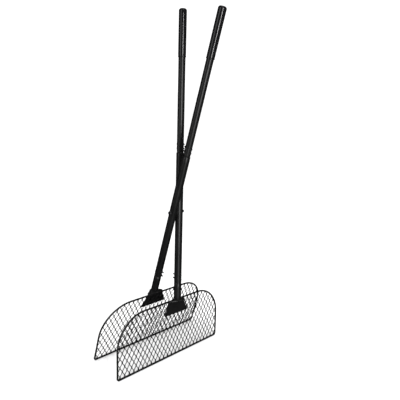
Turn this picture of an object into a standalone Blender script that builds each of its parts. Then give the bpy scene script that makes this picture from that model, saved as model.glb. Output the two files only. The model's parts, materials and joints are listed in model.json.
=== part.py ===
"""Two-arm leaf grabber: crossed steel tubes on a pivot bolt, each ending in an expanded-metal panel.

Metres, +Z up. The origin is on the ground, midway between the two panels. X is the pivot axis and the
panels' width, Y is the way the arms open. Each arm is modelled upright around the pivot (its own frame has
the pivot at z = 0, the tube at x = ARM_SIDE and the other panel towards +Y) and hangs on an empty that
leans it by HALF_OPENING. The rear arm is the front arm turned half a turn about Z.
"""

import math

import bmesh
import bpy
from mathutils import Vector

# Arms: distances are measured along the tube from the pivot
HALF_OPENING = math.radians(8.5)   # lean of each arm as it stands
UPPER_TUBE_R = 0.0125
LOWER_TUBE_R = 0.0140              # middle tube and socket
TUBE_WALL = 0.0014
TUBE_SIDES = 20
GRIP_TOP = 0.706                   # pivot to the end of the grip
GRIP_LENGTH = 0.160
GRIP_WALL = 0.0012
GRIP_CROWN = 0.0080                # height of the grip's rounded end
GRIP_LIP = 0.0005                  # how far the grip's mouth stands proud
UPPER_SEAM = 0.215                 # pivot up to the seam of the upper and middle tubes
LOWER_SEAM = 0.275                 # pivot down to the seam of the middle tube and the socket
NECK_LENGTH = 0.050                # swaged neck of the lower piece inside the upper one
SWAGE_LENGTH = 0.003

# Bolts of the two tube joints, along Y
JOINT_BOLT_R = 0.0025
JOINT_BOLT_HEAD_R = 0.0046
JOINT_BOLT_HEAD = 0.0028
JOINT_NUT_FLATS = 0.0080
JOINT_NUT = 0.0045
UPPER_BOLT_END = 0.0025            # thread that stands past the nut
LOWER_BOLT_END = 0.0060
JOINT_BOLTS_ABOVE_SEAM = (0.016, 0.031)

# Pivot, along X
PIVOT_R = 0.0030
PIVOT_HEAD_R = 0.0066
PIVOT_HEAD = 0.0040
PIVOT_NUT_FLATS = 0.0100
PIVOT_NUT = 0.0060
PIVOT_END = 0.0020
WASHER_R = 0.0072
WASHER = 0.0012
SPACER_R = 0.0090
SPACER = 0.0014

# Panels
PANEL_WIDTH = 0.508                # between the rod's centre lines
PANEL_HEIGHT = 0.222
PANEL_CORNER_R = 0.117
PANEL_FOOT_R = 0.008
PANEL_TOP = 0.345                  # pivot down to the centre of the top rod
PANEL_OFFSET = 0.012               # panel plane to tube axis
ROD_R = 0.0032
ROD_SIDES = 8
MESH_THICKNESS = 0.0016
MESH_STRAND = 0.0020
MESH_BORDER = 0.0020
MESH_PITCH_X = 0.0203
MESH_PITCH_Z = 0.0340
MESH_SMALLEST_HOLE = 0.20          # share of a whole diamond below which a cut hole stays closed

# Brackets
BRACKET_SHEET = 0.0025
BRACKET_TOP_WIDTH = 0.074          # along the bend
BRACKET_FOOT_WIDTH = 0.116
BRACKET_DROP = 0.052               # centre of the top rod down to the bracket's lower edge
BRACKET_BEND_R = 0.0020
BRACKET_CORNER_R = 0.0040
LEDGE_MARGIN = 0.0006              # ledge past the tube, at its outer edge

GAP = 0.0003                       # between pieces that touch
HOLE_CLEARANCE = 0.00035           # bolt to hole, on the radius
HOLE_SIDES = 10
BOLT_SIDES = 10

ARM_SIDE = LOWER_TUBE_R + SPACER / 2 + GAP
ROD_CORNER_R = ROD_R / math.cos(math.pi / ROD_SIDES)
MIDDLE_NECK_R = UPPER_TUBE_R - TUBE_WALL - GAP
SOCKET_NECK_R = LOWER_TUBE_R - TUBE_WALL - GAP
PIVOT_HEIGHT = ((PANEL_TOP + PANEL_HEIGHT) * math.cos(HALF_OPENING)
                + PANEL_OFFSET * math.sin(HALF_OPENING) + ROD_R)
LEDGE_TOP = -PANEL_TOP + ROD_CORNER_R + GAP


def clear_scene():
    for obj in list(bpy.data.objects):
        bpy.data.objects.remove(obj, do_unlink=True)


def make_material(name, color, roughness, metallic):
    material = bpy.data.materials.new(name)
    material.use_nodes = True
    shader = material.node_tree.nodes["Principled BSDF"]
    shader.inputs["Base Color"].default_value = (*color, 1.0)
    shader.inputs["Roughness"].default_value = roughness
    shader.inputs["Metallic"].default_value = metallic
    return material


def add_object(name, bm, material, parent=None, location=(0, 0, 0), rotation=(0, 0, 0), smooth=True):
    bmesh.ops.recalc_face_normals(bm, faces=bm.faces)
    mesh = bpy.data.meshes.new(name)
    bm.to_mesh(mesh)
    bm.free()
    if smooth:
        mesh.shade_smooth()
        mesh.set_sharp_from_angle(angle=math.radians(35))
    obj = bpy.data.objects.new(name, mesh)
    bpy.context.scene.collection.objects.link(obj)
    if material:
        obj.data.materials.append(material)
    obj.parent = parent
    obj.location = location
    obj.rotation_euler = rotation
    return obj


def add_empty(name, location, rotation):
    empty = bpy.data.objects.new(name, None)
    bpy.context.scene.collection.objects.link(empty)
    empty.location = location
    empty.rotation_euler = rotation
    return empty


# ---- shape builders ----

def ring_points(radius, sides, phase=0.0):
    return [(radius * math.cos(phase + math.tau * i / sides), radius * math.sin(phase + math.tau * i / sides))
            for i in range(sides)]


def hex_points(flats, sides):
    """Points of a hexagon spread over `sides` directions, so it can be bridged to a round bore."""
    points = []
    for i in range(sides):
        angle = math.tau * i / sides
        from_flat = (angle % (math.pi / 3)) - math.pi / 6
        reach = flats / 2 / math.cos(from_flat)
        points.append((reach * math.cos(angle), reach * math.sin(angle)))
    return points


def bridge(bm, first, second):
    """Faces between two rings of the same count; a ring of one vertex is a tip, and two tips need none."""
    count = max(len(first), len(second))
    if count == 1:
        return
    for i in range(count):
        j = (i + 1) % count
        if len(first) == 1:
            bm.faces.new((first[0], second[i], second[j]))
        elif len(second) == 1:
            bm.faces.new((first[i], first[j], second[0]))
        else:
            bm.faces.new((first[i], first[j], second[j], second[i]))


def turned(profile, sides, closed=False):
    """Solid of revolution about Z. `profile` runs through (radius, z); radius 0 is a tip on the axis."""
    bm = bmesh.new()
    rings = []
    for radius, z in profile:
        if radius == 0:
            rings.append([bm.verts.new((0, 0, z))])
        else:
            rings.append([bm.verts.new((x, y, z)) for x, y in ring_points(radius, sides)])
    pairs = list(zip(rings, rings[1:]))
    if closed:
        pairs.append((rings[-1], rings[0]))
    for first, second in pairs:
        bridge(bm, first, second)
    return bm


def nut_shape(flats, height, bore_r, sides=12):
    bm = bmesh.new()
    outer = hex_points(flats, sides)
    inner = ring_points(bore_r, sides)
    rings = [[bm.verts.new((x, y, z)) for x, y in points]
             for points, z in ((outer, 0), (outer, height), (inner, height), (inner, 0))]
    for i, ring in enumerate(rings):
        bridge(bm, ring, rings[(i + 1) % len(rings)])
    return bm


def bolt_shape(shank_r, length, head_r, head_height, sides=BOLT_SIDES):
    """Pan-head bolt: the head below z = 0, the shank above it."""
    return turned([(0, -head_height), (head_r * 0.55, -head_height * 0.92), (head_r * 0.9, -head_height * 0.55),
                   (head_r, 0), (shank_r, 0), (shank_r, length - shank_r * 0.3), (shank_r * 0.7, length),
                   (0, length)], sides)


def washer_shape(outer_r, thickness, bore_r, sides=16):
    return turned([(bore_r, 0), (outer_r, 0), (outer_r, thickness), (bore_r, thickness)], sides, closed=True)


# ---- tubes and grips ----

def tube_profile(radius, low, high, neck_r):
    """Open tube from low to high; with a neck, its top is swaged down to slide into the next tube."""
    bore = radius - TUBE_WALL
    outer = [(radius, low), (radius, high)]
    inner = [(bore, high), (bore, low)]
    if neck_r:
        outer += [(neck_r, high + SWAGE_LENGTH), (neck_r, high + NECK_LENGTH)]
        inner = [(neck_r - TUBE_WALL, high + NECK_LENGTH), (neck_r - TUBE_WALL, high + SWAGE_LENGTH),
                 (bore, high - SWAGE_LENGTH), (bore, low)]
    return outer + inner


def add_hole_cutter(tube, name, joint_seams, has_pivot):
    """One cutter for all of a tube's bolt holes, joined in a single mesh."""
    bm = bmesh.new()
    reach = 2 * max(UPPER_TUBE_R, LOWER_TUBE_R)

    def cylinder(radius, z, along_x):
        rings = []
        for end in (-reach, reach):
            points = ring_points(radius, HOLE_SIDES, math.pi / HOLE_SIDES)
            rings.append([bm.verts.new((end, a, z + b) if along_x else (a, end, z + b)) for a, b in points])
        bridge(bm, rings[0], rings[1])
        for ring in rings:
            bm.faces.new(ring)

    for seam in joint_seams:
        for above in JOINT_BOLTS_ABOVE_SEAM:
            cylinder(JOINT_BOLT_R + HOLE_CLEARANCE, seam + above, False)
    if has_pivot:
        cylinder(PIVOT_R + HOLE_CLEARANCE, 0, True)
    cutter = add_object(name, bm, None, tube.parent, tube.location)
    cutter.display_type = "WIRE"
    cutter.hide_render = True
    holes = tube.modifiers.new("bolt_holes", "BOOLEAN")
    holes.operation = "DIFFERENCE"
    holes.solver = "EXACT"
    holes.object = cutter


def add_tube(name, arm, material, radius, low, high, neck_r, joint_seams, has_pivot=False):
    """neck_r is the radius of the swaged neck above the tube, or None."""
    bm = turned(tube_profile(radius, low, high, neck_r), TUBE_SIDES, closed=True)
    tube = add_object(name, bm, material, arm, (ARM_SIDE, 0, 0))
    add_hole_cutter(tube, name + "_holes", joint_seams, has_pivot)


def grip_profile():
    bore = UPPER_TUBE_R + GAP
    skin = bore + GRIP_WALL
    mouth = GRIP_TOP - GRIP_LENGTH
    shoulder = GRIP_TOP - GRIP_CROWN
    outer = [(bore, mouth), (skin + GRIP_LIP, mouth), (skin + GRIP_LIP, mouth + 0.003), (skin, mouth + 0.005)]
    crown_steps = 5
    for i in range(crown_steps):
        turn = math.pi / 2 * i / crown_steps
        outer.append((skin * math.cos(turn) ** 0.5, shoulder + GRIP_CROWN * math.sin(turn)))
    inside_top = GRIP_TOP - GRIP_CROWN - GAP
    return outer + [(0, GRIP_TOP), (0, inside_top), (bore, inside_top)]


def add_grip(name, arm, material):
    add_object(name, turned(grip_profile(), TUBE_SIDES, closed=True), material, arm, (ARM_SIDE, 0, 0))


# ---- panels ----

def panel_outline(inset, corner_steps, foot_steps):
    """Panel outline in (x, drop below the top rod's centre), inset from the rod's centre line."""
    half = PANEL_WIDTH / 2 - inset
    top_r = PANEL_CORNER_R - inset
    foot_r = max(PANEL_FOOT_R - inset, 0.0005)
    points = []

    def arc(cx, cy, radius, start, steps):
        for i in range(steps + 1):
            angle = start + math.pi / 2 * i / steps
            points.append((cx + radius * math.cos(angle), cy + radius * math.sin(angle)))

    foot = PANEL_HEIGHT - inset
    arc(half - foot_r, foot - foot_r, foot_r, 0, foot_steps)
    arc(-half + foot_r, foot - foot_r, foot_r, math.pi / 2, foot_steps)
    arc(-half + top_r, inset + top_r, top_r, math.pi, corner_steps)
    arc(half - top_r, inset + top_r, top_r, math.pi * 1.5, corner_steps)
    return points


def add_panel_frame(name, arm, material):
    """Round rod bent to the outline; the bottom rod's lowest flat lies level on the ground."""
    bm = bmesh.new()
    outline = panel_outline(0, 12, 4)
    count = len(outline)
    rings = []
    for i, (x, drop) in enumerate(outline):
        before = Vector(outline[i - 1])
        after = Vector(outline[(i + 1) % count])
        here = Vector((x, drop))
        into, onward = (here - before).normalized(), (after - here).normalized()
        along = (into + onward).normalized()
        normal = Vector((along.y, -along.x))
        stretch = 1 / max(normal.dot(Vector((into.y, -into.x))), 0.5)
        ring = []
        for k in range(ROD_SIDES):
            angle = HALF_OPENING + math.tau * (k + 0.5) / ROD_SIDES
            sideways = ROD_CORNER_R * math.cos(angle) * stretch
            ring.append(bm.verts.new((x + normal.x * sideways, PANEL_OFFSET + ROD_CORNER_R * math.sin(angle),
                                      -PANEL_TOP - drop - normal.y * sideways)))
        rings.append(ring)
    for i, ring in enumerate(rings):
        bridge(bm, ring, rings[(i + 1) % count])
    add_object(name, bm, material, arm)


def clip_to_outline(polygon, outline):
    """Part of a convex polygon inside a convex outline, both as lists of 2-D points."""
    clipped = polygon
    for i, start in enumerate(outline):
        end = outline[(i + 1) % len(outline)]
        edge = Vector(end) - Vector(start)

        def side(point):
            return edge.x * (point[1] - start[1]) - edge.y * (point[0] - start[0])

        kept = []
        for j, point in enumerate(clipped):
            before = clipped[j - 1]
            here, there = side(point), side(before)
            if (here >= 0) != (there >= 0):
                share = there / (there - here)
                kept.append((before[0] + (point[0] - before[0]) * share,
                             before[1] + (point[1] - before[1]) * share))
            if here >= 0:
                kept.append(point)
        clipped = kept
        if len(clipped) < 3:
            return []
    return clipped


def tidy_loop(points, shortest=0.0004):
    return [p for i, p in enumerate(points) if math.dist(p, points[i - 1]) > shortest]


def loop_area(points):
    return abs(sum(points[i - 1][0] * p[1] - p[0] * points[i - 1][1] for i, p in enumerate(points))) / 2


def mesh_holes(field):
    """Diamond openings of the expanded metal, cut off where they meet the border."""
    strand_angle = math.atan2(MESH_PITCH_Z, MESH_PITCH_X)
    half_x = MESH_PITCH_X / 2 - MESH_STRAND / 2 / math.sin(strand_angle)
    half_z = MESH_PITCH_Z / 2 - MESH_STRAND / 2 / math.cos(strand_angle)
    smallest = MESH_SMALLEST_HOLE * 2 * half_x * half_z
    columns = math.ceil(PANEL_WIDTH / MESH_PITCH_X) + 1
    rows = math.ceil(PANEL_HEIGHT / MESH_PITCH_Z) + 1
    holes = []
    for column in range(-columns, columns + 1):
        for row in range(-1, 2 * rows + 1):
            if (column + row) % 2:
                continue
            x, drop = column * MESH_PITCH_X / 2, PANEL_HEIGHT / 2 + (row - rows) * MESH_PITCH_Z / 2
            diamond = [(x + half_x, drop), (x, drop + half_z), (x - half_x, drop), (x, drop - half_z)]
            hole = tidy_loop(clip_to_outline(diamond, field))
            if len(hole) > 2 and loop_area(hole) > smallest:
                holes.append(hole)
    return holes


def add_panel_mesh(name, arm, material):
    edge = ROD_CORNER_R + GAP
    outline = panel_outline(edge, 12, 1)
    loops = [tidy_loop(outline)] + mesh_holes(panel_outline(edge + MESH_BORDER, 12, 1))
    bm = bmesh.new()
    near = PANEL_OFFSET - MESH_THICKNESS / 2
    edges = []
    for loop in loops:
        verts = [bm.verts.new((x, near, -PANEL_TOP - drop)) for x, drop in loop]
        edges += [bm.edges.new((verts[i - 1], verts[i])) for i in range(len(verts))]
    bmesh.ops.triangle_fill(bm, edges=edges, use_beauty=True, normal=(0, 1, 0))
    grown = bmesh.ops.extrude_face_region(bm, geom=list(bm.faces))
    moved = [v for v in grown["geom"] if isinstance(v, bmesh.types.BMVert)]
    bmesh.ops.translate(bm, verts=moved, vec=(0, MESH_THICKNESS, 0))
    add_object(name, bm, material, arm, smooth=False)


# ---- brackets ----

def bracket_stations():
    """Path of the sheet's middle from the ledge's outer edge, round the bend and down the panel, with the
    sheet's half width there: (y, z, direction of travel, half width)."""
    mid = BRACKET_SHEET / 2
    ledge_z = LEDGE_TOP - mid
    plate_y = PANEL_OFFSET - ROD_CORNER_R - GAP - mid
    bend_r = BRACKET_BEND_R + mid
    tip_y = -LOWER_TUBE_R - LEDGE_MARGIN
    foot_z = -PANEL_TOP - BRACKET_DROP
    tip_half = LOWER_TUBE_R + LEDGE_MARGIN
    top_half, foot_half = BRACKET_TOP_WIDTH / 2, BRACKET_FOOT_WIDTH / 2
    across, down = Vector((1, 0)), Vector((0, -1))
    stations = []
    corner_steps = 3
    for i in range(corner_steps + 1):
        turn = math.pi / 2 * i / corner_steps
        stations.append((tip_y + BRACKET_CORNER_R * (1 - math.cos(turn)), ledge_z, across,
                         tip_half - BRACKET_CORNER_R * (1 - math.sin(turn))))
    bend_steps = 4
    for i in range(bend_steps + 1):
        turn = math.pi / 2 * i / bend_steps
        travel = Vector((math.cos(turn), -math.sin(turn)))
        stations.append((plate_y - bend_r + bend_r * math.sin(turn), ledge_z - bend_r * (1 - math.cos(turn)),
                         travel, top_half))
    for i in range(corner_steps + 1):
        turn = math.pi / 2 * i / corner_steps
        stations.append((plate_y, foot_z + BRACKET_CORNER_R * (1 - math.sin(turn)), down,
                         foot_half - BRACKET_CORNER_R * (1 - math.cos(turn))))
    return stations


def add_bracket(name, arm, material):
    bm = bmesh.new()
    mid = BRACKET_SHEET / 2
    rings = []
    for y, z, travel, half in bracket_stations():
        up = Vector((-travel.y, travel.x)) * mid
        rings.append([bm.verts.new((ARM_SIDE + side * half, y + face * up.x, z + face * up.y))
                      for side, face in ((-1, 1), (1, 1), (1, -1), (-1, -1))])
    for first, second in zip(rings, rings[1:]):
        bridge(bm, first, second)
    bm.faces.new(rings[0])
    bm.faces.new(rings[-1])
    add_object(name, bm, material, arm)


# ---- fasteners ----

def add_joint_bolts(prefix, arm, material, tube_r, seam, nut_side, bolt_end):
    """Bolts along Y through a tube joint; nut_side is +1 or -1, the side of the tube with the nuts."""
    for number, above in enumerate(JOINT_BOLTS_ABOVE_SEAM, 1):
        seat = tube_r + GAP
        length = 2 * seat + GAP + JOINT_NUT + bolt_end
        rotation = (-nut_side * math.pi / 2, 0, 0)
        z = seam + above
        add_object(f"{prefix}_bolt_{number}",
                   bolt_shape(JOINT_BOLT_R, length, JOINT_BOLT_HEAD_R, JOINT_BOLT_HEAD),
                   material, arm, (ARM_SIDE, -nut_side * seat, z), rotation)
        add_object(f"{prefix}_nut_{number}",
                   nut_shape(JOINT_NUT_FLATS, JOINT_NUT, JOINT_BOLT_R + GAP),
                   material, arm, (ARM_SIDE, nut_side * (seat + GAP), z), rotation, smooth=False)


def add_pivot(steel, nylon):
    """Bolt along +X: head and washer on the rear arm's side, washer and nut on the front arm's side."""
    across = (0, math.pi / 2, 0)
    outside = ARM_SIDE + LOWER_TUBE_R + GAP
    head_seat = -outside - WASHER - GAP
    nut_seat = outside + WASHER + GAP
    length = nut_seat - head_seat + PIVOT_NUT + PIVOT_END

    def place(name, bm, material, x, smooth=True):
        add_object(name, bm, material, None, (x, 0, PIVOT_HEIGHT), across, smooth)

    place("pivot_bolt", bolt_shape(PIVOT_R, length, PIVOT_HEAD_R, PIVOT_HEAD, 16), steel, head_seat)
    place("pivot_head_washer", washer_shape(WASHER_R, WASHER, PIVOT_R + HOLE_CLEARANCE), steel,
          -outside - WASHER)
    place("pivot_spacer", washer_shape(SPACER_R, SPACER, PIVOT_R + HOLE_CLEARANCE), nylon, -SPACER / 2)
    place("pivot_nut_washer", washer_shape(WASHER_R, WASHER, PIVOT_R + HOLE_CLEARANCE), steel, outside)
    place("pivot_nut", nut_shape(PIVOT_NUT_FLATS, PIVOT_NUT, PIVOT_R + GAP), steel, nut_seat, False)


# ---- whole object ----

def add_arm(side, turn, materials):
    arm = add_empty(f"{side}_arm_pivot", (0, 0, PIVOT_HEIGHT), (-HALF_OPENING, 0, turn))
    coat, vinyl, zinc = materials["powder_coat"], materials["vinyl"], materials["black_zinc"]
    add_grip(f"{side}_grip", arm, vinyl)
    tube_end = GRIP_TOP - GRIP_CROWN - 2 * GAP
    add_tube(f"{side}_upper_tube", arm, coat, UPPER_TUBE_R, UPPER_SEAM + SWAGE_LENGTH + GAP, tube_end, None,
             [UPPER_SEAM])
    add_tube(f"{side}_middle_tube", arm, coat, LOWER_TUBE_R, -LOWER_SEAM + SWAGE_LENGTH + GAP, UPPER_SEAM,
             MIDDLE_NECK_R, [UPPER_SEAM, -LOWER_SEAM], has_pivot=True)
    add_tube(f"{side}_socket_tube", arm, coat, LOWER_TUBE_R, LEDGE_TOP + GAP, -LOWER_SEAM, SOCKET_NECK_R,
             [-LOWER_SEAM])
    add_bracket(f"{side}_bracket", arm, coat)
    add_panel_frame(f"{side}_panel_frame", arm, coat)
    add_panel_mesh(f"{side}_panel_mesh", arm, coat)
    add_joint_bolts(f"{side}_upper", arm, zinc, UPPER_TUBE_R, UPPER_SEAM, -1, UPPER_BOLT_END)
    add_joint_bolts(f"{side}_lower", arm, zinc, LOWER_TUBE_R, -LOWER_SEAM, 1, LOWER_BOLT_END)


def main():
    clear_scene()
    materials = {
        "powder_coat": make_material("powder_coat", (0.018, 0.018, 0.019), 0.42, 0.0),
        "vinyl": make_material("vinyl", (0.012, 0.012, 0.013), 0.22, 0.0),
        "black_zinc": make_material("black_zinc", (0.045, 0.045, 0.048), 0.38, 0.8),
        "nylon": make_material("nylon", (0.03, 0.03, 0.03), 0.5, 0.0),
    }
    add_arm("front", 0.0, materials)
    add_arm("rear", math.pi, materials)
    add_pivot(materials["black_zinc"], materials["nylon"])
    bpy.context.view_layer.update()


main()
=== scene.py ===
import json
import math

import bmesh
import bpy
from mathutils import Matrix, Vector, noise


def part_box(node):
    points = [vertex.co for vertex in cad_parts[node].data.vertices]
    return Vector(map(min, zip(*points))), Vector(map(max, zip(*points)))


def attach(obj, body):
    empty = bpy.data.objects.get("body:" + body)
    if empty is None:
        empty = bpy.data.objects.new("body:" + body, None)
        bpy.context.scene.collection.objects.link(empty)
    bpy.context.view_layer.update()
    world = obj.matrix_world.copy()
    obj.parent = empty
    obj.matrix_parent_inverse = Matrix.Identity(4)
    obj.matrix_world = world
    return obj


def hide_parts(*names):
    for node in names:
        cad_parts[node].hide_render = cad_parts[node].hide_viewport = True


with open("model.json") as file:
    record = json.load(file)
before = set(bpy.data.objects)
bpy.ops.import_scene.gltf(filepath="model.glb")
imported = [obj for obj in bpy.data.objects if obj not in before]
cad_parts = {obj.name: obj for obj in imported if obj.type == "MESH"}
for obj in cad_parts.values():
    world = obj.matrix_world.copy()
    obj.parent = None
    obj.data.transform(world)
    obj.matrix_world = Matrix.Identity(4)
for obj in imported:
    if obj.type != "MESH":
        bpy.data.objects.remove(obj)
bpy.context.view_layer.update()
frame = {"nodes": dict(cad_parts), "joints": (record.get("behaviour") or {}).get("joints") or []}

print("frame loaded,", len(frame["nodes"]), "nodes")

sides = ("front", "rear")
pivotPoint = Vector(frame["joints"][0]["pos_m"])


# where each arm hangs: its own frame has the pivot at the origin, the tube upright and the other panel
# towards +Y, like the arms in the CAD model

def armPlace(side):
    low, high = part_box(side + "_upper_tube")
    middle = (low + high) / 2 - pivotPoint
    lean = math.atan2(abs(middle.y), middle.z)
    turn = 0 if side == "front" else math.pi
    return Matrix.Translation(pivotPoint) @ Matrix.Rotation(turn, 4, "Z") @ Matrix.Rotation(-lean, 4, "X")


armPlaces = {side: armPlace(side) for side in sides}


def localBox(node, place):
    inverse = place.inverted()
    points = [inverse @ v.co for v in frame["nodes"][node].data.vertices]
    low = Vector([min(p[i] for p in points) for i in range(3)])
    high = Vector([max(p[i] for p in points) for i in range(3)])
    return low, high


class Value:
    def __init__(self, tree, socket=None):
        self.tree = tree
        self.socket = socket

    def make(self, kind, settings=None, inputs=None, output=0):   # any node: settings first, then its sockets
        node = self.tree.nodes.new(kind)
        for name, setting in (settings or {}).items():
            setattr(node, name, setting)
        for name, given in (inputs or {}).items():
            socket = node.inputs[name]
            if isinstance(given, Value):
                self.tree.links.new(given.socket, socket)
            else:
                socket.default_value = given
        return Value(self.tree, node.outputs[output])

    def maths(self, operation, other):
        return self.make("ShaderNodeMath", {"operation": operation}, {0: self, 1: other})

    def __add__(self, other):
        return self.maths("ADD", other)

    def __radd__(self, other):   # a number plus a value
        return self.maths("ADD", other)

    def __mul__(self, other):
        return self.maths("MULTIPLY", other)

    def between(self, low, high):   # 0 at low, 1 at high, smooth
        return self.make("ShaderNodeMapRange", {"interpolation_type": "SMOOTHSTEP"},
                         {"Value": self, "From Min": low, "From Max": high})

    def mixColor(self, first, second):   # self is the factor
        return self.make("ShaderNodeMix", {"data_type": "RGBA"}, {0: self, 6: first, 7: second}, 2)


def newMaterial(name):
    material = bpy.data.materials.new(name)
    material.use_nodes = True
    tree = material.node_tree
    shader = tree.nodes["Principled BSDF"]
    return material, Value(tree), shader


def setShader(start, shader, constants, varying):
    for name, number in constants.items():
        shader.inputs[name].default_value = number
    for name, value in varying.items():
        start.tree.links.new(value.socket, shader.inputs[name])


def noiseAt(start, coords, scale, detail=3, roughness=0.55):
    return start.make("ShaderNodeTexNoise", {}, {"Vector": coords, "Scale": scale, "Detail": detail,
                                                 "Roughness": roughness})


def stretched(start, coords, amounts):
    return start.make("ShaderNodeMapping", {"vector_type": "POINT"}, {"Vector": coords, "Scale": amounts})


def bumped(start, height, strength, distance):
    return start.make("ShaderNodeBump", {}, {"Height": height, "Strength": strength, "Distance": distance})


powderCoat = {
    "color": (0.0030, 0.0030, 0.0031, 1),
    "faded": (0.0058, 0.0058, 0.0060, 1),    # where hands and leaves have rubbed it
    "dust": (0.020, 0.019, 0.018, 1),
    "roughness": 0.30,
    "roughnessSpread": 0.14,
    "peelScale": 420,                        # orange peel, bumps per metre
    "peelDepth": 0.00012,
    "specular": 0.5,
}


def powderCoatMaterial(name, scuffs=1.0, peel=1.0):
    material, start, shader = newMaterial(name)
    coords = start.make("ShaderNodeTexCoord", output="Object")
    broad = noiseAt(start, coords, 14, 4)
    fine = noiseAt(start, coords, 190, 3)
    along = stretched(start, coords, (1, 1, 0.12))
    streaks = noiseAt(start, along, 230, 4, 0.7).between(0.62, 0.78) * broad.between(0.42, 0.66) * scuffs
    specks = noiseAt(start, coords, 620, 2).between(0.70, 0.80) * fine.between(0.45, 0.65)
    color = broad.between(0.35, 0.75).mixColor(powderCoat["color"], powderCoat["faded"])
    color = (streaks * 0.5).mixColor(color, powderCoat["dust"])
    color = (specks * 0.35).mixColor(color, powderCoat["dust"])
    rough = powderCoat["roughness"] + broad * powderCoat["roughnessSpread"] + streaks * 0.18
    height = noiseAt(start, coords, powderCoat["peelScale"], 2) + fine * 0.5
    setShader(start, shader, {"Specular IOR Level": powderCoat["specular"]}, {
        "Base Color": color, "Roughness": rough,
        "Normal": bumped(start, height, 0.30 * peel, powderCoat["peelDepth"])})
    return material


gripVinyl = {
    "color": (0.0045, 0.0045, 0.0048, 1),
    "worn": (0.010, 0.010, 0.0105, 1),
    "roughness": 0.10,
    "handRoughness": 0.08,
    "rippleScale": 26,                       # slow ripples of a dipped sleeve
    "grainScale": 900,
    "bumpDepth": 0.00025,
}


def gripVinylMaterial():
    material, start, shader = newMaterial("gripVinyl")
    coords = start.make("ShaderNodeTexCoord", output="Object")
    handled = noiseAt(start, coords, 19, 4)
    smear = noiseAt(start, stretched(start, coords, (1, 1, 0.3)), 85, 4, 0.65)
    ripple = noiseAt(start, stretched(start, coords, (1, 1, 0.35)), gripVinyl["rippleScale"], 2)
    grain = noiseAt(start, coords, gripVinyl["grainScale"], 2)
    color = (smear.between(0.5, 0.75) * 0.6).mixColor(gripVinyl["color"], gripVinyl["worn"])
    rough = gripVinyl["roughness"] + handled.between(0.4, 0.7) * gripVinyl["handRoughness"] + smear * 0.04
    setShader(start, shader, {"Specular IOR Level": 0.5}, {
        "Base Color": color, "Roughness": rough,
        "Normal": bumped(start, ripple + grain * 0.004, 0.20, gripVinyl["bumpDepth"])})
    return material


blackZinc = {
    "color": (0.030, 0.030, 0.032, 1),
    "rubbed": (0.140, 0.140, 0.145, 1),      # brighter where it has been handled
    "metallic": 0.75,
    "roughness": 0.30,
    "roughnessSpread": 0.22,
}


def blackZincMaterial():
    material, start, shader = newMaterial("blackZinc")
    coords = start.make("ShaderNodeTexCoord", output="Object")
    rubbed = noiseAt(start, coords, 380, 4).between(0.5, 0.72)
    cloud = noiseAt(start, coords, 120, 3)
    color = rubbed.mixColor(blackZinc["color"], blackZinc["rubbed"])
    setShader(start, shader, {"Metallic": blackZinc["metallic"]}, {
        "Base Color": color, "Roughness": blackZinc["roughness"] + cloud * blackZinc["roughnessSpread"],
        "Normal": bumped(start, noiseAt(start, coords, 1500, 2), 0.15, 0.0001)})
    return material


spacerNylon = {
    "color": (0.008, 0.008, 0.008, 1),
    "cloud": (0.020, 0.020, 0.019, 1),
    "roughness": 0.45,
    "roughnessSpread": 0.15,
}


def spacerNylonMaterial():
    material, start, shader = newMaterial("nylon")
    coords = start.make("ShaderNodeTexCoord", output="Object")
    cloud = noiseAt(start, coords, 260, 3)
    color = cloud.mixColor(spacerNylon["color"], spacerNylon["cloud"])
    setShader(start, shader, {}, {
        "Base Color": color, "Roughness": spacerNylon["roughness"] + cloud * spacerNylon["roughnessSpread"],
        "Normal": bumped(start, noiseAt(start, coords, 1400, 2), 0.2, 0.0001)})
    return material


coatedWeld = {   # weld under the coat: the same black, rougher and lumpy
    "roughness": 0.42,
    "roughnessSpread": 0.20,
    "lumpScale": 480,
    "lumpDepth": 0.0003,
}


def coatedWeldMaterial():
    material, start, shader = newMaterial("coatedWeld")
    coords = start.make("ShaderNodeTexCoord", output="Object")
    lumps = noiseAt(start, coords, coatedWeld["lumpScale"], 4)
    color = lumps.between(0.4, 0.7).mixColor(powderCoat["color"], powderCoat["faded"])
    setShader(start, shader, {"Specular IOR Level": powderCoat["specular"]}, {
        "Base Color": color, "Roughness": coatedWeld["roughness"] + lumps * coatedWeld["roughnessSpread"],
        "Normal": bumped(start, lumps, 0.5, coatedWeld["lumpDepth"])})
    return material


coat = powderCoatMaterial("powderCoat")
meshCoat = powderCoatMaterial("meshCoat", 0.6, 0.6)
vinyl = gripVinylMaterial()
zinc = blackZincMaterial()
nylon = spacerNylonMaterial()
weldCoat = coatedWeldMaterial()
print("materials made")


def addPiece(name, bm, material, place, body, replaced=(), sharpAngle=40):
    bmesh.ops.recalc_face_normals(bm, faces=bm.faces)
    mesh = bpy.data.meshes.new(name)
    bm.to_mesh(mesh)
    bm.free()
    mesh.shade_smooth()
    mesh.set_sharp_from_angle(angle=math.radians(sharpAngle))
    mesh.materials.append(material)
    piece = bpy.data.objects.new(name, mesh)
    bpy.context.scene.collection.objects.link(piece)
    piece.matrix_world = place
    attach(piece, body)
    if replaced:
        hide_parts(*replaced)
    return piece


def bridge(bm, first, second):
    count = max(len(first), len(second))
    if count == 1:
        return
    for i in range(count):
        j = (i + 1) % count
        if len(first) == 1:
            bm.faces.new((first[0], second[i], second[j]))
        elif len(second) == 1:
            bm.faces.new((first[i], first[j], second[0]))
        else:
            bm.faces.new((first[i], first[j], second[j], second[i]))


def joinRings(bm, rings, closed=False):   # an open run gets an end face at each end
    for first, second in zip(rings, rings[1:]):
        bridge(bm, first, second)
    if closed:
        bridge(bm, rings[-1], rings[0])
    else:
        bm.faces.new(rings[0])
        bm.faces.new(rings[-1])


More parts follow.
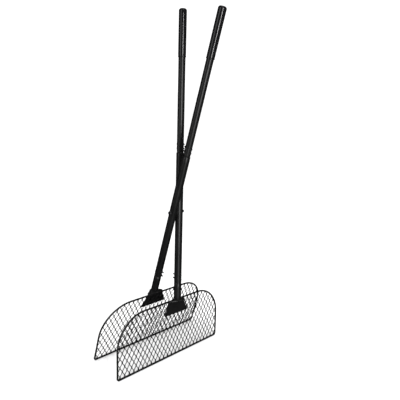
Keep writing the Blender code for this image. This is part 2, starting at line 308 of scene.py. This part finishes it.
def stripSection(half, thick, edge):   # across a strip of sheet with its edges broken
    return [(half, thick - edge), (half - edge, thick), (-half + edge, thick), (-half, thick - edge),
            (-half, -thick + edge), (-half + edge, -thick), (half - edge, -thick), (half, -thick + edge)]


def ringVerts(bm, points, z, place=None):
    made = [Vector((x, y, z)) for x, y in points]
    return [bm.verts.new(place @ p if place else p) for p in made]


def circle(radius, count, phase=0.0):
    return [(radius * math.cos(phase + math.tau * i / count), radius * math.sin(phase + math.tau * i / count))
            for i in range(count)]


def hexagon(flats, count, most=None):   # hexagon spread over count directions; most cuts its corners round
    points = []
    for i in range(count):
        angle = math.tau * i / count
        reach = flats / 2 / math.cos(angle % (math.pi / 3) - math.pi / 6)
        reach = min(reach, most) if most else reach
        points.append((reach * math.cos(angle), reach * math.sin(angle)))
    return points


def lathe(bm, profile, count, place=None, closed=False):
    rings = []
    for radius, z in profile:
        points = [(0, 0)] if radius == 0 else circle(radius, count)
        rings.append(ringVerts(bm, points, z, place))
    pairs = list(zip(rings, rings[1:])) + ([(rings[-1], rings[0])] if closed else [])
    for first, second in pairs:
        bridge(bm, first, second)
    return rings


def arcPoints(center, radius, start, end, steps):   # (radius, z) points of a quarter round on a profile
    return [(center[0] + radius * math.cos(start + (end - start) * i / steps),
             center[1] + radius * math.sin(start + (end - start) * i / steps)) for i in range(steps + 1)]


tube = {
    "count": 72,             # faces round the tube
    "wall": 0.0014,
    "edgeRound": 0.0004,
    "swage": 0.0030,         # length of the shoulder where the neck is drawn down
    "clearance": 0.0003,     # round the neck, and below the mouth of the tube above
    "station": 0.020,        # longest face along the tube
    "neckShown": 0.012,      # neck is only seen at the seam, so it is modelled this far
    "dentDepth": 0.00035,    # the wall pulled in by the tightened bolts
    "dentReach": 0.0062,
    "dentStep": 0.0012,
}


def tubeStations(low, high, boltHeights):
    heights = {low, high}
    count = math.ceil((high - low) / tube["station"])
    heights.update(low + (high - low) * i / count for i in range(count + 1))
    for bolt in boltHeights:
        reach = tube["dentReach"] * 2
        near = math.ceil(2 * reach / tube["dentStep"])
        heights.update(bolt - reach + 2 * reach * i / near for i in range(near + 1))
    return sorted(h for h in heights if low <= h <= high)


def dentTube(bm, radius, bolts):   # bolts: (height, direction of the bolt in the tube's cross-section)
    for v in bm.verts:
        outward = Vector((v.co.x, v.co.y, 0))
        if outward.length < radius * 0.97:
            continue
        for height, direction in bolts:
            for way in (1, -1):
                seat = Vector((way * direction.x * radius, way * direction.y * radius, height))
                away = (v.co - seat).length / tube["dentReach"]
                if away < 2.2:
                    v.co -= outward.normalized() * tube["dentDepth"] * math.exp(-away * away * 1.6)


def tubePiece(side, node, above, jointBolts, hasPivot):   # above: the tube that the swaged neck slides into
    place = armPlaces[side]
    low, high = localBox(f"{side}_{node}", place)
    middle = (low + high) / 2
    radius = (high.x - low.x) / 2
    bore = radius - tube["wall"]
    edge = tube["edgeRound"]
    top = high.z
    if above:
        aboveLow, aboveHigh = localBox(f"{side}_{above}", place)
        top = aboveLow.z - tube["swage"] - tube["clearance"]
    boltHeights = [z for z in jointBolts if low.z < z < top] + ([0] if hasPivot else [])
    heights = tubeStations(low.z + edge, top - edge, boltHeights)
    profile = arcPoints((radius - edge, low.z + edge), edge, -math.pi / 2, 0, 3)[:-1]
    profile += [(radius, z) for z in heights]
    if above:
        neck = (aboveHigh.x - aboveLow.x) / 2 - tube["wall"] - tube["clearance"]
        shoulder = top + tube["swage"]
        profile += [(radius - 0.0001, top - edge * 0.3), (radius - 0.0005, top + 0.0005)]
        neckTop = shoulder + tube["neckShown"]
        profile += [(neck + 0.0004, shoulder - 0.0007), (neck, shoulder), (neck, neckTop),
                    (neck - tube["wall"], neckTop), (neck - tube["wall"], top)]
    else:
        profile += arcPoints((radius - edge, top - edge), edge, 0, math.pi / 2, 3)[1:]
        profile.append((bore, top))
    profile.append((bore, low.z))
    bm = bmesh.new()
    lathe(bm, profile, tube["count"], closed=True)
    bolts = [(z, Vector((0, 1))) for z in boltHeights if z != 0] + ([(0, Vector((1, 0)))] if hasPivot else [])
    dentTube(bm, radius, bolts)
    shift = Matrix.Translation((middle.x, middle.y, 0))
    bmesh.ops.transform(bm, matrix=shift, verts=bm.verts)
    return addPiece(f"{side}_{node}_skin", bm, coat, place, side + "_arm", [f"{side}_{node}"])


def boltHeight(side, name):
    low, high = localBox(f"{side}_{name}", armPlaces[side])
    return (low.z + high.z) / 2


for side in sides:
    upperBolts = [boltHeight(side, f"upper_bolt_{i}") for i in (1, 2)]
    lowerBolts = [boltHeight(side, f"lower_bolt_{i}") for i in (1, 2)]
    tubePiece(side, "upper_tube", None, upperBolts, False)
    tubePiece(side, "middle_tube", "upper_tube", lowerBolts, True)
    tubePiece(side, "socket_tube", "middle_tube", [], False)
print("tubes made")


grip = {
    "count": 72,
    "lipHeight": 0.0040,
    "lipProud": 0.0005,      # rolled mouth of the sleeve
    "crown": 0.0080,
    "pinch": 0.00035,        # shallow ring above the mouth
    "mouthWall": 0.0012,
    "mouthDepth": 0.012,     # how far up the inside of the mouth is modelled
    "lipRound": 0.0009,
    "crownCurve": 0.6,       # under 1 keeps the crown full at its rim
    "crownSteps": 10,
    "straightSteps": 14,
}


def gripProfile(low, high, radius):
    skin = radius - grip["lipProud"]
    inner = skin - grip["mouthWall"]
    lipTop = low + grip["lipHeight"]
    bend = grip["lipRound"]
    profile = [(inner, low + grip["mouthDepth"]), (inner, low + 0.0004), (inner + 0.0003, low)]
    profile += arcPoints((radius - bend, low + bend), bend, -math.pi / 2, 0, 4)
    profile += arcPoints((radius - bend, lipTop - bend), bend, 0, math.pi / 2.4, 3)
    profile += [(skin - grip["pinch"], lipTop + 0.0006), (skin - grip["pinch"] * 0.5, lipTop + 0.0016),
                (skin, lipTop + 0.0032)]
    start, end, steps = lipTop + 0.004, high - grip["crown"], grip["straightSteps"]
    profile += [(skin, start + (end - start) * i / steps) for i in range(steps + 1)]
    for i in range(1, grip["crownSteps"]):
        turn = math.pi / 2 * i / grip["crownSteps"]
        profile.append((skin * math.cos(turn) ** grip["crownCurve"], end + grip["crown"] * math.sin(turn)))
    return profile + [(0, high)]


def gripPiece(side):
    place = armPlaces[side]
    low, high = localBox(side + "_grip", place)
    middle = (low + high) / 2
    bm = bmesh.new()
    rings = lathe(bm, gripProfile(low.z, high.z - 0.0001, (high.x - low.x) / 2 - 0.0001), grip["count"])
    bm.faces.new(rings[0])
    bmesh.ops.transform(bm, matrix=Matrix.Translation((middle.x, middle.y, 0)), verts=bm.verts)
    addPiece(side + "_grip_sleeve", bm, vinyl, place, side + "_arm", [side + "_grip"])


for side in sides:
    gripPiece(side)
print("grips made")


# fasteners are modelled along their own +Z, with the head's seat at 0

fastener = {
    "count": 48,
    "socketShare": 0.42,     # width of the hex socket against the head's
    "socketDepth": 0.6,
    "threadPitch": 0.0008,
    "threadDepth": 0.0003,
    "collarShare": 0.8288,   # round collar of a lock nut against its flats
    "nutBody": 0.72,         # height of the hexagon against the whole nut's
    "cornerReach": 0.565,    # of the hexagon's corners, in widths across its flats
    "faceReach": 0.51,       # the same at the nut's two faces
    "cornerCut": 0.00035,
    "nutPlay": 0.0001,
    "washerPlay": 0.0002,
    "sharpAngle": 30,
}


def boltMesh(bm, shank, length, headRadius, headHeight, threadFrom, place):
    count = fastener["count"]
    flats = headRadius * 2 * fastener["socketShare"]
    depth = headHeight * fastener["socketDepth"]
    crown = -headHeight
    rings = [ringVerts(bm, [(0, 0)], crown + depth, place),
             ringVerts(bm, hexagon(flats, count), crown + depth, place),
             ringVerts(bm, hexagon(flats, count), crown + 0.0002, place),
             ringVerts(bm, hexagon(flats * 1.06, count), crown, place)]
    # button head, from the socket's rim down to the seat, in head radii and head heights
    domed = [(0.72, 1.0), (0.84, 0.94), (0.94, 0.78), (0.985, 0.55), (1.0, 0.30), (1.0, 0.06), (0.98, 0.0)]
    profile = [(headRadius * r, -headHeight * h) for r, h in domed]
    profile += [(shank, 0), (shank, threadFrom)]
    z = threadFrom
    while z + fastener["threadPitch"] < length - 0.0005:
        profile += [(shank, z), (shank - fastener["threadDepth"], z + fastener["threadPitch"] / 2)]
        z += fastener["threadPitch"]
    profile += [(shank, z), (shank - 0.0002, length - 0.0003), (shank - 0.0006, length), (0, length)]
    rings += [ringVerts(bm, [(0, 0)] if r == 0 else circle(r, count), height, place) for r, height in profile]
    for first, second in zip(rings, rings[1:]):
        bridge(bm, first, second)


def nutMesh(bm, flats, height, bore, place):
    count = fastener["count"]
    collar = flats / 2 * fastener["collarShare"]
    body = height * fastener["nutBody"]
    cut = fastener["cornerCut"]
    face = hexagon(flats, count, flats * fastener["faceReach"])
    full = hexagon(flats, count, flats * fastener["cornerReach"])
    layers = [(circle(bore, count), 0), (face, 0), (full, cut), (full, body - cut), (face, body),
              (circle(collar, count), body + 0.00005),
              (circle(collar, count), height - 0.0006), (circle(collar - 0.0003, count), height - 0.0001),
              (circle(collar - 0.0008, count), height), (circle(bore, count), height - 0.0004)]
    rings = [ringVerts(bm, points, z, place) for points, z in layers]
    joinRings(bm, rings, True)


def washerMesh(bm, outer, bore, thickness, place):
    edge = thickness * 0.25
    profile = [(bore, 0), (outer - edge, 0), (outer, edge), (outer, thickness - edge),
               (outer - edge, thickness), (bore, thickness)]
    lathe(bm, profile, fastener["count"], place, closed=True)


jointBolt = {
    "radius": 0.0025,
    "headHeight": 0.0028,
    "nutFlats": 0.0080,
    "turns": (0.35, 1.1),    # how far each was turned when it came tight
}


def boltAndNut(side, which):
    place = armPlaces[side]
    for i in (1, 2):
        low, high = localBox(f"{side}_{which}_bolt_{i}", place)
        nutLow, nutHigh = localBox(f"{side}_{which}_nut_{i}", place)
        way = 1 if nutLow.y + nutHigh.y > low.y + high.y else -1
        headRadius = (high.x - low.x) / 2
        head = jointBolt["headHeight"]
        seat = low.y + head if way > 0 else high.y - head
        length = high.y - low.y - head
        x, z = (low.x + high.x) / 2, (low.z + high.z) / 2
        upright = Matrix.Translation((x, seat, z)) @ Matrix.Rotation(-way * math.pi / 2, 4, "X")
        upright = upright @ Matrix.Rotation(jointBolt["turns"][i - 1], 4, "Z")
        nutHeight = nutHigh.y - nutLow.y
        nutSeat = abs((nutLow.y if way > 0 else nutHigh.y) - seat)
        bm = bmesh.new()
        boltMesh(bm, jointBolt["radius"], length, headRadius, head, nutSeat - 0.001, upright)
        addPiece(f"{side}_{which}_screw_{i}", bm, zinc, place, side + "_arm",
                 [f"{side}_{which}_bolt_{i}"], fastener["sharpAngle"])
        bm = bmesh.new()
        nutMesh(bm, jointBolt["nutFlats"], nutHeight, jointBolt["radius"] + fastener["nutPlay"],
                upright @ Matrix.Translation((0, 0, nutSeat)))
        addPiece(f"{side}_{which}_locknut_{i}", bm, zinc, place, side + "_arm",
                 [f"{side}_{which}_nut_{i}"], fastener["sharpAngle"])


for side in sides:
    for which in ("upper", "lower"):
        boltAndNut(side, which)
print("joint bolts made")


pivot = {
    "radius": 0.0030,
    "headHeight": 0.0040,
    "nutFlats": 0.0100,
    "nutTurn": 0.2,
}


def pivotPieces():
    place = Matrix.Translation(pivotPoint)
    along = Matrix.Rotation(math.pi / 2, 4, "Y")
    low, high = localBox("pivot_bolt", place)
    seat = low.x + pivot["headHeight"]
    nutLow, nutHigh = localBox("pivot_nut", place)
    upright = Matrix.Translation((seat, 0, 0)) @ along
    bm = bmesh.new()
    boltMesh(bm, pivot["radius"], high.x - seat, (high.y - low.y) / 2, pivot["headHeight"],
             nutLow.x - seat - 0.001, upright)
    addPiece("pivot_screw", bm, zinc, place, "front_arm", ["pivot_bolt"],
             fastener["sharpAngle"])
    bm = bmesh.new()
    nutMesh(bm, pivot["nutFlats"], nutHigh.x - nutLow.x, pivot["radius"] + fastener["nutPlay"],
            Matrix.Translation((nutLow.x, 0, 0)) @ along @ Matrix.Rotation(pivot["nutTurn"], 4, "Z"))
    addPiece("pivot_locknut", bm, zinc, place, "front_arm", ["pivot_nut"],
             fastener["sharpAngle"])
    for node, material, slotName in (("pivot_head_washer", zinc, "black_zinc"),
                                     ("pivot_nut_washer", zinc, "black_zinc"),
                                     ("pivot_spacer", nylon, "spacer_nylon")):
        low, high = localBox(node, place)
        bm = bmesh.new()
        washerMesh(bm, (high.y - low.y) / 2, pivot["radius"] + fastener["washerPlay"], high.x - low.x,
                   Matrix.Translation((low.x, 0, 0)) @ along)
        addPiece(node + "_ring", bm, material, place, "front_arm", [node], fastener["sharpAngle"])


pivotPieces()
print("pivot made")


panel = {
    "rodRadius": 0.0033,
    "rodReach": 0.0034,      # from the rod's centre line to the CAD rod's furthest corner
    "rodCount": 20,
    "topCorner": 0.117,      # on the rod's centre line
    "footCorner": 0.008,
    "cornerSteps": 28,
    "footSteps": 8,
    "buttWeld": 0.00015,     # bump where the bent rod's ends are welded
    "buttWeldHalf": 0.004,   # half its length
    "nearWeld": (0.004, 0.008, 0.012, 0.03, 0.5),   # points beside it, shares of half the width
}


def outlinePoints(low, high, inset):   # closed, from the bottom middle; (x, z) in the arm's frame
    half = (high.x - low.x) / 2 - panel["rodReach"] - inset
    middle = (high.x + low.x) / 2
    top, foot = high.z - panel["rodReach"] - inset, low.z + panel["rodReach"] + inset
    topRound, footRound = panel["topCorner"] - inset, max(panel["footCorner"] - inset, 0.001)
    points = []

    def corner(cx, cz, radius, start, steps):
        points.extend((middle + cx + radius * math.cos(start + math.pi / 2 * i / steps),
                       cz + radius * math.sin(start + math.pi / 2 * i / steps)) for i in range(steps + 1))

    points += [(middle + half * share, foot) for share in (0, *panel["nearWeld"])]
    corner(half - footRound, foot + footRound, footRound, -math.pi / 2, panel["footSteps"])
    corner(half - topRound, top - topRound, topRound, 0, panel["cornerSteps"])
    points += [(middle, top)]
    corner(-half + topRound, top - topRound, topRound, math.pi / 2, panel["cornerSteps"])
    corner(-half + footRound, foot + footRound, footRound, math.pi, panel["footSteps"])
    points += [(middle - half * share, foot) for share in reversed(panel["nearWeld"])]
    return points


def rodPiece(side):
    place = armPlaces[side]
    low, high = localBox(side + "_panel_frame", place)
    planeY = (low.y + high.y) / 2
    outline = outlinePoints(low, high, 0)
    middle = (low.x + high.x) / 2
    bm = bmesh.new()
    rings = []
    count = len(outline)
    for i, (x, z) in enumerate(outline):
        here = Vector((x, z))
        into = (here - Vector(outline[i - 1])).normalized()
        onward = (Vector(outline[(i + 1) % count]) - here).normalized()
        along = (into + onward).normalized()
        across = Vector((along.y, -along.x))
        atWeld = z < low.z + 2 * panel["rodReach"] and abs(x - middle) < panel["buttWeldHalf"]
        radius = panel["rodRadius"] + (panel["buttWeld"] if atWeld else 0)
        ring = []
        for k in range(panel["rodCount"]):
            angle = math.tau * k / panel["rodCount"]
            reach = radius * math.cos(angle)
            ring.append(bm.verts.new((x + across.x * reach, planeY + radius * math.sin(angle),
                                      z + across.y * reach)))
        rings.append(ring)
    joinRings(bm, rings, True)
    addPiece(side + "_panel_rod", bm, coat, place, side + "_arm", [side + "_panel_frame"])
    return low, high, planeY


expanded = {
    "columns": 25,           # diamonds across the panel
    "pitchZ": 0.0340,        # height of a diamond
    "strand": 0.0026,        # width of a strand
    "sheet": 0.0016,
    "bond": 0.0042,          # length of the solid joint between two strands
    "tilt": 0.55,            # how far stretching the slit sheet turns the strands, radians
    "edge": 0.00025,
    "weldInto": 0.0012,      # how far a strand's end is sunk in the rod
    "shortest": 0.006,
    "overlap": 0.96,         # under 1 lets two strands run into each other along a bond
    "sway": 0.06,            # how much a strand bows on its way over
    "twistCurve": 0.7,       # under 1 holds the twist for most of the way
    "steps": 14,             # points along half a wave
}


def insideOutline(x, z, low, high, inset):
    half = (high.x - low.x) / 2 - panel["rodReach"] - inset
    middle = (high.x + low.x) / 2
    top, foot = high.z - panel["rodReach"] - inset, low.z + panel["rodReach"] + inset
    topRound = panel["topCorner"] - inset
    across = abs(x - middle)
    if across > half or z > top or z < foot:
        return False
    if across > half - topRound and z > top - topRound:
        return math.hypot(across - half + topRound, z - top + topRound) < topRound
    return True


def strandPath(column, pitchX, low, high):
    # one strand from bottom to top: straight along each bond, then over to the bond on its other side
    middle = (low.x + high.x) / 2
    centre = middle + (column + 0.5) * pitchX / 2
    swing = pitchX / 4 - expanded["strand"] / 2 * expanded["overlap"]
    halfWave = expanded["pitchZ"] / 2
    slope = (halfWave - expanded["bond"]) / halfWave   # share of the half wave that crosses over
    bondPart = (1 - slope) / 2
    steps = expanded["steps"]
    middleZ = (low.z + high.z) / 2
    waves = math.ceil((high.z - low.z) / 2 / halfWave) + 1
    path = []
    for wave in range(-waves, waves):
        way = 1 if (wave + column) % 2 else -1
        for step in range(steps):
            share = step / steps
            z = middleZ + (wave + share) * halfWave
            across = min(max((share - bondPart) / slope, 0), 1)
            eased = across - expanded["sway"] * math.sin(math.tau * across)
            x = centre + swing * way * (1 - 2 * eased)
            lean = math.sin(math.pi * across) ** expanded["twistCurve"] if 0 < across < 1 else 0
            path.append((x, z, lean * way))
    return path


def strandMesh(bm, path, planeY):
    section = stripSection(expanded["strand"] / 2, expanded["sheet"] / 2, expanded["edge"])
    rings = []
    for i, (x, z, lean) in enumerate(path):
        before, after = path[max(i - 1, 0)], path[min(i + 1, len(path) - 1)]
        along = Vector((after[0] - before[0], 0, after[1] - before[1])).normalized()
        across = Vector((along.z, 0, -along.x))
        turned = Matrix.Rotation(expanded["tilt"] * lean, 3, along)
        wide, deep = turned @ across, turned @ Vector((0, 1, 0))
        centre = Vector((x, planeY, z))
        rings.append([bm.verts.new(centre + wide * a + deep * b) for a, b in section])
    joinRings(bm, rings)


def expandedPiece(side, low, high, planeY):
    pitchX = (high.x - low.x - 2 * panel["rodReach"]) / expanded["columns"]
    bm = bmesh.new()
    inset = panel["rodRadius"] - expanded["weldInto"]
    for column in range(-expanded["columns"] - 1, expanded["columns"] + 1):
        run = []
        for point in strandPath(column, pitchX, low, high) + [None]:
            if point and insideOutline(point[0], point[1], low, high, inset):
                run.append(point)
                continue
            if len(run) > 1 and run[-1][1] - run[0][1] > expanded["shortest"]:
                strandMesh(bm, run, planeY)
            run = []
    addPiece(side + "_expanded_metal", bm, meshCoat, armPlaces[side], side + "_arm",
             [side + "_panel_mesh"], 50)


for side in sides:
    low, high, planeY = rodPiece(side)
    expandedPiece(side, low, high, planeY)
print("panels made")


bracket = {
    "sheet": 0.0025,
    "tipWidth": 0.0292,      # ledge's outer edge, under the tube
    "topWidth": 0.074,       # along the bend
    "bend": 0.0020,
    "corner": 0.0040,
    "edge": 0.0006,
    "cornerSteps": 8,
    "bendSteps": 10,
}


def bracketStations(low, high):
    mid = bracket["sheet"] / 2
    ledgeZ, plateY = high.z - mid, high.y - mid
    bendRadius = bracket["bend"] + mid
    tipHalf, topHalf, footHalf = bracket["tipWidth"] / 2, bracket["topWidth"] / 2, (high.x - low.x) / 2
    corner, steps = bracket["corner"], bracket["cornerSteps"]
    stations = []
    for i in range(steps + 1):
        turn = math.pi / 2 * i / steps
        stations.append((low.y + corner * (1 - math.cos(turn)), ledgeZ, Vector((1, 0)),
                         tipHalf - corner * (1 - math.sin(turn))))
    for i in range(bracket["bendSteps"] + 1):
        turn = math.pi / 2 * i / bracket["bendSteps"]
        stations.append((plateY - bendRadius + bendRadius * math.sin(turn),
                         ledgeZ - bendRadius * (1 - math.cos(turn)),
                         Vector((math.cos(turn), -math.sin(turn))), topHalf))
    for i in range(steps + 1):
        turn = math.pi / 2 * i / steps
        stations.append((plateY, low.z + corner * (1 - math.sin(turn)), Vector((0, -1)),
                         footHalf - corner * (1 - math.cos(turn))))
    return stations


def bracketPiece(side):
    place = armPlaces[side]
    low, high = localBox(side + "_bracket", place)
    middle = (low.x + high.x) / 2
    bm = bmesh.new()
    rings = []
    for y, z, travel, half in bracketStations(low, high):
        up = Vector((-travel.y, travel.x))
        section = stripSection(half, bracket["sheet"] / 2, bracket["edge"])
        rings.append([bm.verts.new((middle + a, y + b * up.x, z + b * up.y)) for a, b in section])
    joinRings(bm, rings)
    addPiece(side + "_bracket_sheet", bm, coat, place, side + "_arm", [side + "_bracket"])
    return low, high, middle


weld = {
    "radius": 0.0020,
    "ripple": 0.00045,
    "ripplePitch": 0.0021,
    "lump": 0.0004,
    "lumpScale": 300,
    "count": 10,
    "step": 0.0006,
    "aside": (0.31, 0.52, 0.79),   # a direction that no bead runs along
    "rodBeads": ((0.45, 0.62), (0.80, 0.97)),   # from and to, in shares of half the bend's width
}


def weldBead(bm, points, closed=False):   # a rippled bead along a list of points
    rings = []
    length = 0.0
    total = len(points)
    for i, point in enumerate(points):
        before = points[i - 1] if closed or i else points[i]
        after = points[(i + 1) % total] if closed or i < total - 1 else points[i]
        along = (after - before).normalized()
        length += (point - before).length if i else 0
        side = along.cross(Vector(weld["aside"])).normalized()
        up = along.cross(side)
        ends = 1 if closed else min(1, math.sin(math.pi * (i + 0.5) / total) * 4) ** 0.5
        swell = weld["radius"] + weld["ripple"] * math.sin(math.tau * length / weld["ripplePitch"])
        swell = (swell + weld["lump"] * noise.noise(point * weld["lumpScale"])) * ends
        rings.append([bm.verts.new(point + swell * (side * math.cos(a) + up * math.sin(a)))
                      for a in (math.tau * k / weld["count"] for k in range(weld["count"]))])
    joinRings(bm, rings, closed)


def straightPoints(start, end):
    count = max(4, round((end - start).length / weld["step"]))
    return [start.lerp(end, i / count) for i in range(count + 1)]


def weldPieces(side, low, high, middle):
    place = armPlaces[side]
    tubeLow, tubeHigh = localBox(side + "_socket_tube", place)
    rodLow, rodHigh = localBox(side + "_panel_frame", place)
    rodY = (rodLow.y + rodHigh.y) / 2
    rodZ = rodHigh.z - panel["rodReach"]
    radius = (tubeHigh.x - tubeLow.x) / 2 + weld["radius"] * 0.35
    around = []
    count = round(math.tau * radius / weld["step"])
    for i in range(count):
        angle = math.tau * i / count
        spot = Vector((middle + radius * math.cos(angle), radius * math.sin(angle), high.z + 0.0004))
        if spot.y > high.y - weld["radius"]:   # past the bend the bead follows the rod's top
            spot.z = high.z + 0.0002
        around.append(spot)
    bm = bmesh.new()
    weldBead(bm, around, True)
    addPiece(side + "_socket_weld", bm, weldCoat, place, side + "_arm", [], 60)
    bm = bmesh.new()
    topHalf = bracket["topWidth"] / 2
    for way in (-1, 1):   # short beads hold the rod to the back of the bend, left and right of the tube
        for near, far in weld["rodBeads"]:
            spots = [Vector((middle + way * topHalf * share, rodY - 0.0012, rodZ + panel["rodRadius"] * 0.72))
                     for share in (near, far)]
            weldBead(bm, straightPoints(*spots))
    addPiece(side + "_rod_welds", bm, weldCoat, place, side + "_arm", [], 60)


for side in sides:
    weldPieces(side, *bracketPiece(side))
print("brackets and welds made")


studio = {
    "floorRings": (0, 0.5, 1.5, 4, 10, 30),
    "floorDrop": 0.0004,     # keeps the paper clear of the rods that stand on it
    "floorColor": (0.94, 0.94, 0.94, 1),
    "floorShade": 0.985,     # darker patches of the paper
    "sky": (1.0, 1.0, 1.0, 1),
    "skyStrength": 1.2,
    "dimStrength": 0.028,    # what the gloss sees of the room between the lamps
}


def studioFloor():
    bm = bmesh.new()
    lathe(bm, [(radius, 0) for radius in studio["floorRings"]], 96)
    bmesh.ops.recalc_face_normals(bm, faces=bm.faces)
    mesh = bpy.data.meshes.new("studioFloor")
    bm.to_mesh(mesh)
    bm.free()
    mesh.shade_smooth()
    floor = bpy.data.objects.new("studioFloor", mesh)
    bpy.context.scene.collection.objects.link(floor)
    floor.location.z = -studio["floorDrop"]
    floor.visible_glossy = False   # black tubes in a dark studio don't mirror the paper
    material, start, shader = newMaterial("studioPaper")
    coords = start.make("ShaderNodeTexCoord", output="Object")
    paper = noiseAt(start, coords, 3, 2)
    shaded = (*(c * studio["floorShade"] for c in studio["floorColor"][:3]), 1)
    color = paper.mixColor(studio["floorColor"], shaded)
    setShader(start, shader, {"Roughness": 0.9, "Specular IOR Level": 0.1}, {"Base Color": color})
    mesh.materials.append(material)


def softbox(name, place, target, size, power):
    lamp = bpy.data.lights.new(name, "AREA")
    lamp.shape = "RECTANGLE"
    lamp.size, lamp.size_y = size
    lamp.energy = power
    holder = bpy.data.objects.new(name, lamp)
    bpy.context.scene.collection.objects.link(holder)
    holder.location = place
    holder.rotation_euler = (Vector(target) - Vector(place)).to_track_quat("-Z", "Y").to_euler()
    holder.visible_camera = False


def studioWorld():
    world = bpy.data.worlds.new("studioWorld")
    world.use_nodes = True
    tree = world.node_tree
    start = Value(tree)
    gloss = start.make("ShaderNodeLightPath", output="Is Glossy Ray")
    strength = studio["skyStrength"] + gloss * (studio["dimStrength"] - studio["skyStrength"])
    background = tree.nodes["Background"]
    background.inputs["Color"].default_value = studio["sky"]
    tree.links.new(strength.socket, background.inputs["Strength"])
    bpy.context.scene.world = world


softboxes = {   # name: place, aim, size, power
    "stripBox": ((-1.06, -2.31, 1.15), (0, 0, 0.85), (0.26, 2.2), 46),
    "sideBox": ((-2.45, 0.30, 1.25), (0, 0, 0.80), (0.7, 2.0), 8.5),
    "topBox": ((-0.6, -0.9, 3.6), (0, 0, 0.5), (1.6, 1.6), 16),
}
studioFloor()
studioWorld()
for name, (place, aim, size, power) in softboxes.items():
    softbox(name, place, aim, size, power)
bpy.context.scene.view_settings.view_transform = "Standard"
print("studio made")


camera = {
    "place": (-1.0797, -1.0716, 1.0359),
    "yaw": 48.243,           # degrees from +Y towards +X
    "pitch": -15.196,
    "roll": 7.967,
    "lens": 39.17,
}


def studioCamera():
    data = bpy.data.cameras.new("studioCamera")
    data.sensor_width = 36
    data.lens = camera["lens"]
    holder = bpy.data.objects.new("studioCamera", data)
    bpy.context.scene.collection.objects.link(holder)
    yaw, pitch, roll = (math.radians(camera[name]) for name in ("yaw", "pitch", "roll"))
    forward = Vector((math.cos(pitch) * math.sin(yaw), math.cos(pitch) * math.cos(yaw), math.sin(pitch)))
    right = Vector((math.cos(yaw), -math.sin(yaw), 0))
    up = right.cross(forward)
    turnedRight = right * math.cos(roll) + up * math.sin(roll)
    turnedUp = up * math.cos(roll) - right * math.sin(roll)
    rotation = Matrix((turnedRight, turnedUp, -forward)).transposed()
    holder.matrix_world = Matrix.Translation(camera["place"]) @ rotation.to_4x4()
    bpy.context.scene.camera = holder


studioCamera()
print("camera set")
